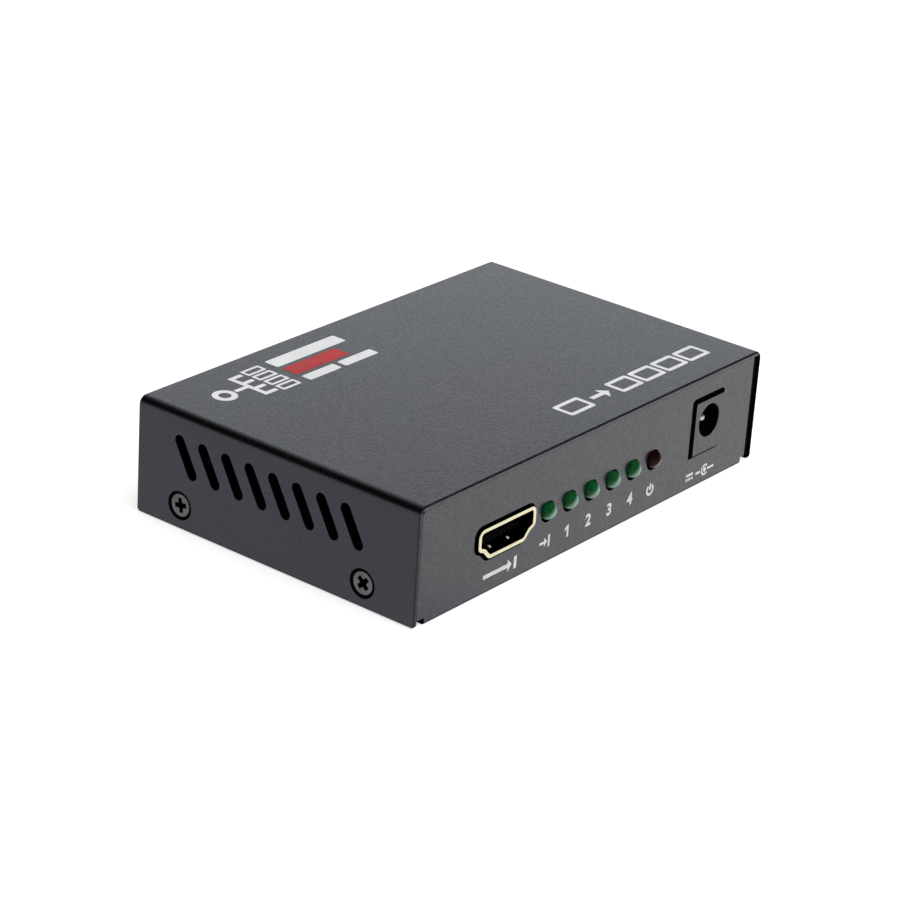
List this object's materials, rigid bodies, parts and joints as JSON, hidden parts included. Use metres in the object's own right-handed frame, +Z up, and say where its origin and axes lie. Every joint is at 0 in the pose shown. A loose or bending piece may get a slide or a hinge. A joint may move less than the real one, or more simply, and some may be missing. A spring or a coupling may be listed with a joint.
{
  "type": "video splitter",
  "caption": "Flat folded-steel video splitter box with slanted side vents, a gold-rimmed input socket, a row of indicator lamps and a power jack in front, and output sockets behind.",
  "frame": {"origin": "middle of the underside of the box, on the plane it stands on", "axes": "+X to the right along the front panel, +Y to the rear panel, +Z up"},
  "size_m": [0.104, 0.0679, 0.023],
  "materials": {
    "coated_steel": "dark grey powder coat with a fine speckle",
    "screw_steel": "zinc plated",
    "gold_plate": "polished gold plating",
    "black_plastic": "moulded, satin",
    "green_lens": "tinted clear lens",
    "red_lens": "tinted clear lens, dark when off",
    "tinned_metal": "tin plated",
    "board_laminate": "solder resist over glass laminate",
    "chip_resin": "moulded resin",
    "bare_aluminium": "plain",
    "ceramic": "fired ceramic"
  },
  "bodies": {
    "root": {"top_cover": "coated_steel", "base_tray": "coated_steel", "cover_screws": "screw_steel", "board_standoffs": "screw_steel", "board_screws": "screw_steel", "main_board": "board_laminate", "input_socket_shell": "gold_plate", "input_socket_tongue": "black_plastic", "input_socket_contacts": "gold_plate", "output_socket_1_shell": "gold_plate", "output_socket_1_tongue": "black_plastic", "output_socket_1_contacts": "gold_plate", "output_socket_2_shell": "gold_plate", "output_socket_2_tongue": "black_plastic", "output_socket_2_contacts": "gold_plate", "output_socket_3_shell": "gold_plate", "output_socket_3_tongue": "black_plastic", "output_socket_3_contacts": "gold_plate", "output_socket_4_shell": "gold_plate", "output_socket_4_tongue": "black_plastic", "output_socket_4_contacts": "gold_plate", "power_jack_body": "black_plastic", "power_jack_pin": "tinned_metal", "power_jack_spring": "gold_plate", "power_jack_switch_tab": "tinned_metal", "led_input": "green_lens", "led_output_1": "green_lens", "led_output_2": "green_lens", "led_output_3": "green_lens", "led_output_4": "green_lens", "led_power": "red_lens", "led_leads": "tinned_metal", "splitter_chip": "chip_resin", "splitter_chip_pins": "tinned_metal", "chip_heat_sink": "bare_aluminium", "voltage_regulators": "chip_resin", "control_chip": "chip_resin", "crystal": "bare_aluminium", "filter_capacitors": "bare_aluminium", "input_diode": "chip_resin", "surge_guards": "chip_resin", "ceramic_capacitors": "ceramic", "chip_resistors": "chip_resin"}
  },
  "joints": []
}
